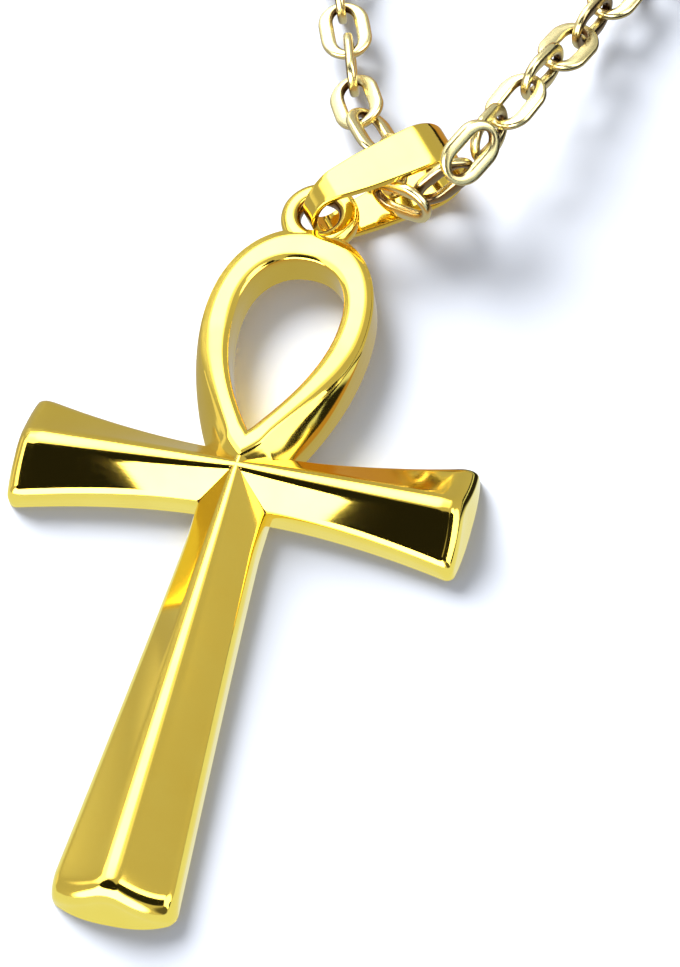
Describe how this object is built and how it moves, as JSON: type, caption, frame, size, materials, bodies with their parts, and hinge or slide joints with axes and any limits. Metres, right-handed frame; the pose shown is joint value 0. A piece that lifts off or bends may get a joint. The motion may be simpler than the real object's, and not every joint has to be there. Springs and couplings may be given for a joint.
{
  "type": "pendant on a chain",
  "caption": "Ankh pendant with ridged, flared limbs and a teardrop loop, hung by a tapered bail on a fine oval-link neck chain, lying on its back.",
  "frame": {"origin": "on the flat back of the pendant, under the point where the ridges of its four limbs cross", "axes": "+Y from the foot to the loop of the ankh, +X along its right arm as seen from the front, +Z out of its back towards the ridges"},
  "size_m": [0.1028, 0.2386, 0.0066],
  "materials": {
    "ankh": "polished gold",
    "bail": "polished gold",
    "chain": "polished pale gold",
    "clasp": "polished pale gold"
  },
  "bodies": {
    "root": {"ankh": "ankh", "bail": "bail", "chain": "chain", "clasp": "clasp"}
  },
  "joints": []
}
